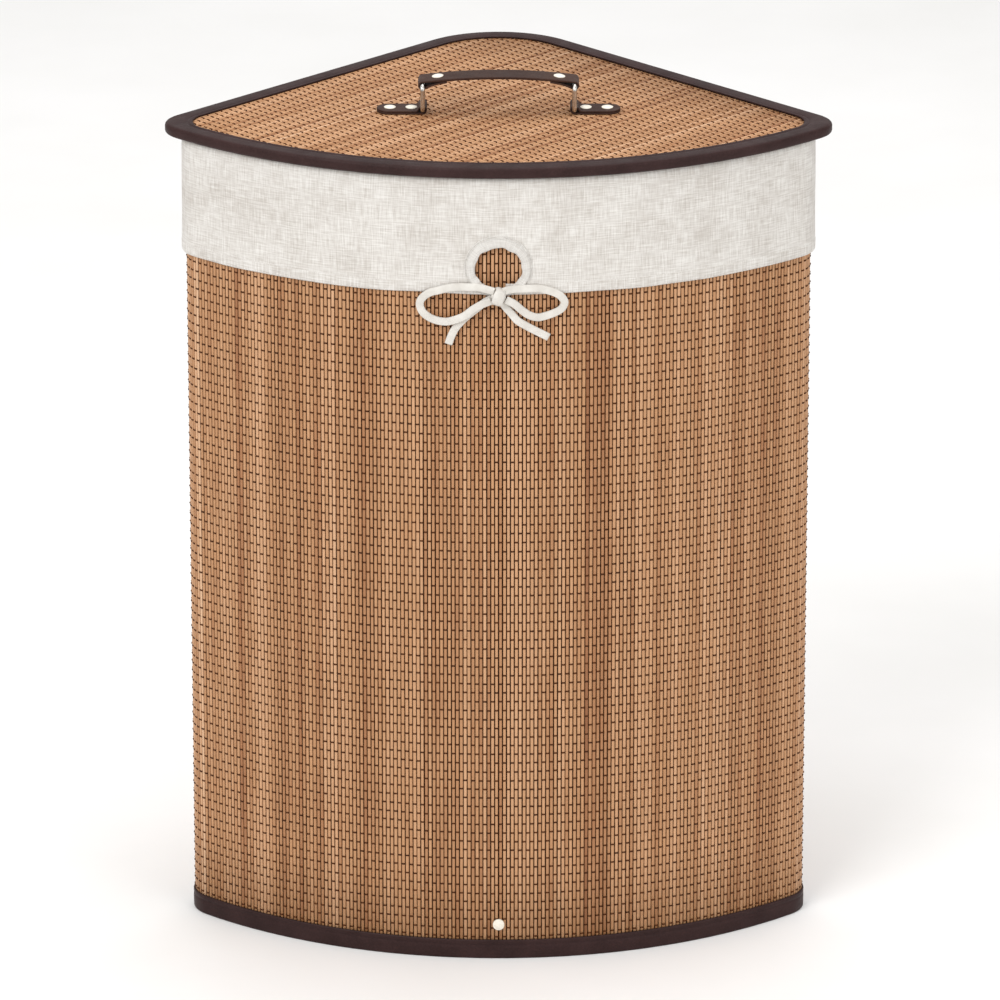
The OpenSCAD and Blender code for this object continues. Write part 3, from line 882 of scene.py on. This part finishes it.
def cloth_rows(profile, steps):
    """Rows along a profile of (inset, height), evenly spaced with this many steps."""
    line = smooth_line(np.array(profile), 8)
    reach, total = lengths(line, closed=False)
    at = np.linspace(0, total, steps)
    return np.column_stack([np.interp(at, reach, line[:, k]) for k in (0, 1)]), at


def cloth_band(rows, columns, swell):
    """Points of a cloth band: rows of (inset, height), pushed outwards by swell[row, column]."""
    shares = np.arange(columns) / columns
    points = np.zeros((len(rows), columns, 3))
    for k, (inset, z) in enumerate(rows):
        plan, normal = along_outline(inset, shares)
        points[k, :, :2] = plan + normal * swell[k][:, None]
        points[k, :, 2] = z
    return points


def bag_cuff():
    """The bag's mouth: over the rim and down outside the wall, with a keyhole in front."""
    columns = 620
    top = CUFF_TOP - 0.0006
    rows_end = HEM_TOP - 0.002
    over_rim = [(0.0260, CUFF_END), (0.0252, CUFF_TOP - 0.012), (0.0242, top - 0.0012),
                (0.0220, top), (0.0155, top), (0.0090, top), (0.0070, top - 0.0014),
                (0.0064, top - 0.006), (0.0062, top - 0.030), (0.0063, HEM_TOP + 0.020),
                (0.0061, HEM_TOP + 0.004), (0.0061, rows_end)]
    rows, fall = cloth_rows(over_rim, 78)
    run, total = round_run(CUFF_INSET, columns)
    outside = np.clip((top - rows[:, 1]) / (top - rows_end), 0, 1) * (rows[:, 0] < CUFF_INSET)
    waves = CUFF_WAVES * outside[:, None] ** 1.3 * soft_waves(run, total, seed=3)
    points = pucker(cloth_band(rows, columns, waves))
    x, z = points[..., 0], points[..., 2] - KEYHOLE_Z
    ring = np.hypot(x / (KEYHOLE_WIDE + CASING_LAP), z / (KEYHOLE_HIGH + CASING_LAP))
    hole = (ring < 1) & (points[..., 1] < 0)
    beside = hole | np.roll(hole, -1, 1)
    grain = grain_map(run[None, :], fall[:, None])
    keep = ~(beside[:-1] | beside[1:])
    cuff = grid("cuff_cloth", points, closed=True, keep=keep, grain=grain)
    thicken(cuff)
    dress(cuff, "bag", LINEN, ["bag_cuff"])
    sewn_on = [cuff_hem(), casing()]


def pucker(points):
    """Small gathers that run outwards from the keyhole's casing."""
    x, z = points[..., 0], points[..., 2] - KEYHOLE_Z
    angle = np.arctan2(z, x)
    near = np.exp(-((np.hypot(x, z) - GATHER_REACH) / GATHER_WIDTH) ** 2) * (points[..., 1] < 0)
    points[..., 1] -= near * (0.00035 * np.sin(13 * angle + 0.6) + 0.0002 * np.sin(22 * angle))
    return points


def cuff_hem():
    """The cuff's doubled lower edge, a closed roll that is open behind the knot."""
    columns = 700
    shape = [(CUFF_INSET, HEM_TOP - 0.0002)]
    shape += placed(HEM_INSET, HEM_TOP, [(0.4, 0.2), (0.1, 0), (-0.1, -0.6), (0, -3)])
    shape += placed(HEM_INSET, CUFF_LOW, [(0, 3), (0.1, 0.8), (0.7, 0)])
    shape += [(CUFF_INSET, CUFF_LOW + 0.0006)]
    run, total = round_run(CUFF_INSET, columns)
    swell = CUFF_WAVES * soft_waves(run, total, seed=3) + 0.00015 * soft_waves(run * 6, total, seed=5)
    points = cloth_band(shape, columns, [swell] * len(shape))
    points[..., 2] += 0.0005 * soft_waves(run, total, seed=8)
    points = np.roll(points, -np.argmin(points[0, :, 1]), 1)
    closed = slice(HEM_OPEN, columns - HEM_OPEN)
    grain = grain_map(run[closed, None], lengths(np.array(shape))[0])
    hem = solid("cuff_hem_roll", points[:, closed].transpose(1, 0, 2), grain)
    return dress(hem, "bag", LINEN, ["cuff_hem"])


def casing():
    """The sewn casing round the keyhole: gathered inside, stitched outside, narrow at the knot."""
    end = math.radians(9)
    angle = np.linspace(-math.pi / 2 + end, 3 * math.pi / 2 - end, 150)
    nearness = np.clip((np.abs(angle - math.pi / 2) - 2.2) / (math.pi - 2.2), 0, 1)
    half = CASING_WIDTH / 2 * (1 - 0.5 * nearness**1.5 + 0.25 * np.clip(np.sin(angle), 0, 1))
    gather = 1 + 0.09 * np.sin(angle * 7 + 0.5) + 0.05 * np.sin(angle * 12 + 1)
    turn = full_turn(28)
    u = squarer(np.cos(turn), 0.85)
    stitches = 1.1 * np.exp(-((u - 0.72) / 0.1) ** 2) * (np.sin(turn) > 0)
    v = np.sin(turn) - stitches
    spoke = direction(angle)
    middle = np.array([KEYHOLE_WIDE, KEYHOLE_HIGH]) * spoke + half[:, None] * spoke
    swing = half[:, None] * u * np.where((u < 0)[None, :], gather[:, None], 1)
    x = middle[:, :1] + spoke[:, :1] * swing
    z = KEYHOLE_Z + middle[:, 1:] + spoke[:, 1:] * swing
    ripple = 1 + 0.12 * np.sin(angle * 17)[:, None] * (u < 0.5)
    out = CASING_OUT + CASING_SWELL * v * ripple + 0.0006 * nearness[:, None]
    run = angle[:, None] * (KEYHOLE_WIDE + CASING_WIDTH / 2)
    piece = solid("keyhole_casing_roll", in_front(x, out, z), grain_map(run, swing))
    return dress(piece, "bag", CASING, ["keyhole_casing"])


def bag_inside():
    """The bag hangs inside the wall in soft upright folds and stands on a floor of its own."""
    columns = 520
    low = BAG_LOW + 0.0008
    profile = [(BAG_SIDE, BAG_TOP - 0.022), (BAG_SIDE, 0.40), (BAG_SIDE, 0.22), (BAG_SIDE, 0.10)]
    profile += placed(BAG_INSET, low, [(1, 20), (3, 4)]) + [(BAG_INSET + BAG_FOOT, low)]
    rows, fall = cloth_rows(profile, 90)
    run, total = round_run(BAG_INSET, columns)
    sag = np.sin(np.clip((CUFF_END - rows[:, 1]) / (CUFF_END - low), 0, 1) * math.pi) ** 0.7
    folds = 0.5 * (1 + soft_waves(run, total, seed=21))
    creases = 0.5 * (1 + soft_waves(run * 3, total, seed=33))
    points = cloth_band(rows, columns, -sag[:, None] * (FOLD_DEEP * folds + CREASE_DEEP * creases))
    grain = grain_map(run[None, :], fall[:, None])
    wall = grid("bag_wall_cloth", points, closed=True, grain=grain)
    thicken(wall)
    dress(wall, "bag", LINEN, ["bag_wall"])
    bag_floor(points[-1], low)


def bag_floor(edge, low):
    """The bag's floor, which meets the wall's turned-in edge and is faintly creased."""
    share = np.linspace(1, 0.02, 40)[:, None, None]
    centre = np.array([0, edge[:, 1].mean(), low])
    spread = centre + (edge - centre) * share
    crease = 0.0006 * np.sin(spread[..., 0] * 60 + 2 * np.sin(spread[..., 1] * 40))
    spread[..., 2] += 0.0006 + crease * (share[..., 0] < 0.97)
    floor = grid("bag_floor_cloth", spread, closed=True, grain=spread.copy())
    thicken(floor)
    dress(floor, "bag", LINEN, ["bag_floor"])


bag_cuff()
bag_inside()


# ------------------------- straps

HANDLE_Y = (GRIP_BOX[0].y + GRIP_BOX[1].y) / 2
STRAP_HALF = (GRIP_BOX[1].y - GRIP_BOX[0].y) / 2
BAR_X = (RING_BOX[0].x + RING_BOX[1].x) / 2
WIRE_R = (RING_BOX[1].x - RING_BOX[0].x) / 2
LOW_BAR_Z = RING_BOX[0].z + WIRE_R
HIGH_BAR_Z = RING_BOX[1].z - WIRE_R
BORE_R = WIRE_R + 0.0002
LAYER = 0.0013
LOOP_R = BORE_R + LAYER
GRIP_TOP = GRIP_BOX[1].z
GRIP_RISE = GRIP_TOP - HIGH_BAR_Z - LOOP_R
GRIP_RADIUS = (BAR_X**2 + GRIP_RISE**2) / (2 * GRIP_RISE)
GRIP_THICK = 0.002
FOLD_END = 0.0364  # where the strap's folded-back end stops, from its middle
TAB_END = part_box("tab_right")[1].x - BAR_X
STRAP_EDGE = 0.0004  # rounding of the straps' edges
STRAP_POWER = 0.16  # how square their section is, see squarer
TAB_STEPS = 60


def strap(name, surface, thick, half_width):
    """A strap from its outer face's points (x, z): thick and half_width are given for each point."""
    step = np.gradient(surface, axis=0)
    step /= np.linalg.norm(step, axis=1)[:, None]
    inward = np.column_stack([step[:, 1], -step[:, 0]])
    turn = full_turn(28)
    u = squarer(np.cos(turn), STRAP_POWER)
    v = squarer(np.sin(turn), STRAP_POWER)
    y = np.outer(np.maximum(half_width - STRAP_EDGE, 0.0001), u) + STRAP_EDGE * np.cos(turn)
    deep = thick[:, None] * (0.5 - 0.5 * np.clip(v, -1, 1))
    x = surface[:, :1] + inward[:, :1] * deep
    z = surface[:, 1:] + inward[:, 1:] * deep
    reach = lengths(surface, closed=False)[0][:, None]
    return solid(name, np.stack([x, HANDLE_Y + y, z], -1), grain_map(reach, y))


def grip():
    """The arched strap. Its ends turn down round the rings and come back under it."""
    middle_z = GRIP_TOP - GRIP_RADIUS
    half_turn = math.degrees(math.asin((BAR_X - 0.001) / GRIP_RADIUS))
    arch = circle((0, middle_z), GRIP_RADIUS, 90 + half_turn, 90 - half_turn, 60)
    loop = circle((BAR_X, HIGH_BAR_Z), LOOP_R, 84, -118, 34)
    under = middle_z + math.sqrt((GRIP_RADIUS - GRIP_THICK) ** 2 - FOLD_END**2)
    share = np.linspace(0, 1, 14)[1:, None]
    fold = loop[-1] + share * (np.array([FOLD_END, under - LAYER]) - loop[-1])
    fold[:, 1] += 0.0008 * np.sin(share[:, 0] * math.pi)
    right = np.vstack([loop, fold])
    left = (right * MIRROR)[::-1]
    surface = np.vstack([left, arch, right])
    thick = np.full(len(surface), LAYER)
    from_bar = np.clip((BAR_X - np.abs(arch[:, 0])) / 0.012, 0, 1)
    thick[len(left):len(left) + len(arch)] = LAYER + (GRIP_THICK - LAYER) * from_bar
    half = np.full(len(surface), STRAP_HALF)
    dress(strap("grip_strap", surface, thick, half), "handle", STRAP, ["handle_strap"])


def tab(name, sign):
    """A strip folded round a ring's lower bar. Its two layers lie on the mat and end in a half round.
    sign is -1 for the left tab and 1 for the right one."""
    length = TAB_END - 0.00005
    top = MAT_TOP + 2 * LAYER
    flat = np.linspace(length, 0.0052, TAB_STEPS)
    upper = np.column_stack([flat, np.full(TAB_STEPS, top)])
    loop = circle((0, LOW_BAR_Z), LOOP_R, 25, 268, 46)
    bend = smooth_line([upper[-2], upper[-1], (0.0040, top + 0.0005), loop[0] + (0.0002, 0), loop[1]], 5)
    lower = np.column_stack([flat[::-1], np.full(TAB_STEPS, MAT_TOP + 0.00002)])
    surface = np.vstack([upper[:-2], bend[:-1], loop[1:], lower])
    surface = surface[np.r_[True, np.linalg.norm(np.diff(surface, axis=0), axis=1) > 0.0001]]
    past = np.clip(surface[:, 0] - (length - STRAP_HALF), 0, STRAP_HALF * 0.998)
    half = np.sqrt(STRAP_HALF**2 - past**2)
    surface = surface * np.array([sign, 1]) + np.array([sign * BAR_X, 0])
    thick = np.full(len(surface), LAYER - 0.00003)
    if sign > 0:  # the outer face has to stay outside
        surface = surface[::-1]
        half = half[::-1]
    dress(strap(name + "_strap", surface, thick, half), "lid", STRAP, [name])


grip()
tab("tab_left", -1)
tab("tab_right", 1)


# ------------------------- nodes that stay

def dress_nodes():
    """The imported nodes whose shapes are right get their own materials."""
    looks = [
        # the backing's darkened brown is painted shade seen through the slats' gaps
        (BACKING_GAP_SHADE, "wall_backing"), (BINDING, "back_seam rim_tape"), (BOARD, "base_board lid_board"),
        (LINEN, "base_cover lid_lining"), (STEEL, "base_screws rivet_washers ring_left ring_right"),
        (ENAMEL, "base_screw_caps tab_rivets_left tab_rivets_right handle_rivets"),
        (wood("frame_wood", "b98f5e", "d9b585", 0), "rim_frame"),
        (wood("pole_wood", "c79d6b", "e6c596", 2), "pole_left pole_right pole_back"),
        (wood("block_wood", "c2955f", "dfb987", 0), "lid_block_left lid_block_right lid_block_front"),
    ]
    for look, names in looks:
        for name in names.split():
            NODES[name].data.materials.clear()
            NODES[name].data.materials.append(look)


dress_nodes()


# ------------------------- floor and light

FLOOR_HALF = 14
WORLD_LIGHT = 0.66


def make_floor():
    """A wide white floor under the hamper."""
    steps = np.linspace(-FLOOR_HALF, FLOOR_HALF, 9)
    x, y = np.meshgrid(steps, steps)
    floor = grid("floor", np.stack([x, y, 0 * x], -1))
    floor.data.materials.append(floor_look())


def area_light(name, place, size, power):
    """A square soft light that points at the middle of the hamper."""
    data = bpy.data.lights.new(name, "AREA")
    data.shape = "SQUARE"
    data.size = size
    data.energy = power
    light = bpy.data.objects.new(name, data)
    light.location = place
    aim = (CAD_LOW + CAD_HIGH) / 2 - light.location
    light.rotation_euler = aim.to_track_quat("-Z", "Y").to_euler()
    bpy.context.scene.collection.objects.link(light)


def make_light():
    """Even white surroundings, a key light at front left and weaker ones at right and above."""
    world = bpy.data.worlds.new("studio")
    world.use_nodes = True
    background = world.node_tree.nodes["Background"]
    background.inputs[0].default_value = (1.0, 1.0, 1.0, 1.0)
    background.inputs[1].default_value = WORLD_LIGHT
    bpy.context.scene.world = world
    area_light("key", (-2.0, -3.0, 3.2), size=2.4, power=95)
    area_light("fill", (2.6, -2.6, 1.8), size=2.6, power=30)
    area_light("top", (0.2, 0.6, 3.6), size=3.0, power=60)
    bpy.context.scene.view_settings.view_transform = "Standard"


make_floor()
make_light()


# ------------------------- end
